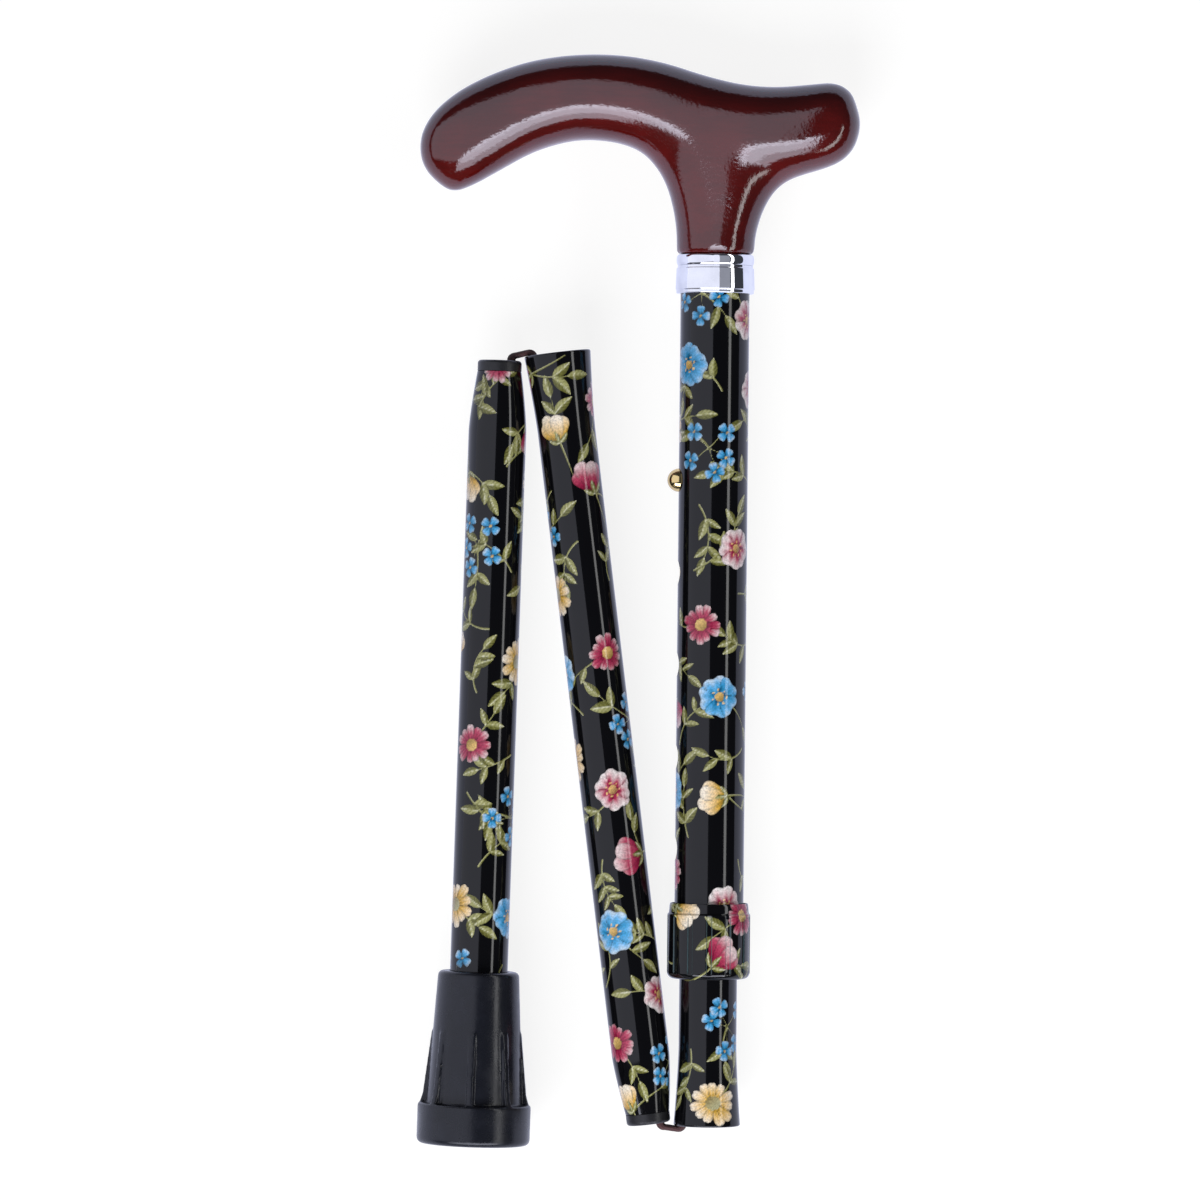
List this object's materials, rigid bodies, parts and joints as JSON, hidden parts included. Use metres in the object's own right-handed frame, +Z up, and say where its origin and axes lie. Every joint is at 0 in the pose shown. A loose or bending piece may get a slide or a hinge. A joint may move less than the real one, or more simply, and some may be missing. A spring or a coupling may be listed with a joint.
{
  "type": "folding cane",
  "caption": "Height-adjustable folding walking cane, half folded: derby handle, telescoping printed tubes, snap button, locking ring, elastic-cord folds and rubber ferrule",
  "frame": {"origin": "on the table under the middle of the folded cane, which lies flat", "axes": "+Y runs up the handle section towards the handle, +X to the side of the handle's short nose, +Z up from the table"},
  "size_m": [0.1213, 0.3009, 0.0312],
  "materials": {
    "lacquered_wood": "mahogany stain under high-gloss lacquer",
    "beech": "plain turned",
    "steel": "zinc plated",
    "chrome": "polished, left bare",
    "printed_tube": "black gloss coat with a floral print",
    "printed_ring": "black gloss with a floral print",
    "black_plastic": "satin",
    "white_plastic": "natural",
    "brass": "polished",
    "elastic": "braided sheath",
    "rubber": "moulded, slightly glossy"
  },
  "bodies": {
    "handle_section": {"handle": "lacquered_wood", "handle_tenon": "beech", "handle_screw": "steel", "collar": "chrome", "upper_tube": "printed_tube", "threaded_sleeve": "black_plastic", "clamp_collet": "white_plastic"},
    "ring": {"locking_ring": "printed_ring"},
    "inner_section": {"inner_tube": "printed_tube", "guide_bush": "black_plastic", "button_spring": "steel", "cord_anchor_upper": "black_plastic", "cord_knot_upper": "elastic", "cord_upper": "elastic"},
    "button": {"snap_button": "brass"},
    "upper_bend": {"cord_loop_upper": "elastic"},
    "middle_section": {"middle_tube": "printed_tube", "middle_plug": "black_plastic", "cord_middle": "elastic"},
    "lower_bend": {"cord_loop_lower": "elastic"},
    "lower_section": {"lower_tube": "printed_tube", "lower_plug": "black_plastic", "cord_lower": "elastic", "cord_anchor_lower": "black_plastic", "cord_knot_lower": "elastic", "ferrule": "rubber", "ferrule_washer": "steel"}
  },
  "joints": [
    {"name": "ring_turn", "type": "hinge", "parent": "handle_section", "child": "ring", "pos_m": [0.021, -0.0934, 0.0156], "axis": [0, 1, 0], "range_deg": [0, 180]},
    {"name": "height", "type": "slide", "parent": "handle_section", "child": "inner_section", "axis": [0, -1, 0], "range_m": [0, 0.1016], "deforming": ["snap_button"]},
    {"name": "button_press", "type": "slide", "parent": "inner_section", "child": "button", "axis": [1, 0, 0], "range_m": [0, 0.0046], "stiffness_N_per_m": 600, "springref_m": -0.003, "deforming": ["button_spring"]},
    {"name": "upper_seat", "type": "slide", "parent": "inner_section", "child": "upper_bend", "axis": [0, 1, 0], "range_m": [0, 0.014], "deforming": ["cord_loop_upper"]},
    {"name": "upper_fold", "type": "hinge", "parent": "upper_bend", "child": "middle_section", "pos_m": [0.01305, -0.1438, 0.0156], "axis": [0, 0, 1], "range_deg": [0, 172.65]},
    {"name": "lower_seat", "type": "slide", "parent": "middle_section", "child": "lower_bend", "axis": [0.1279, -0.9918, 0], "range_m": [0, 0.014], "deforming": ["cord_loop_lower"]},
    {"name": "lower_fold", "type": "hinge", "parent": "lower_bend", "child": "lower_section", "pos_m": [-0.03012, 0.06661, 0.0156], "axis": [0, 0, -1], "range_deg": [0, 171.25]}
  ],
  "couplings": [
    {"joint": "lower_fold", "follows": "upper_fold", "ratio": 0.99189}
  ]
}
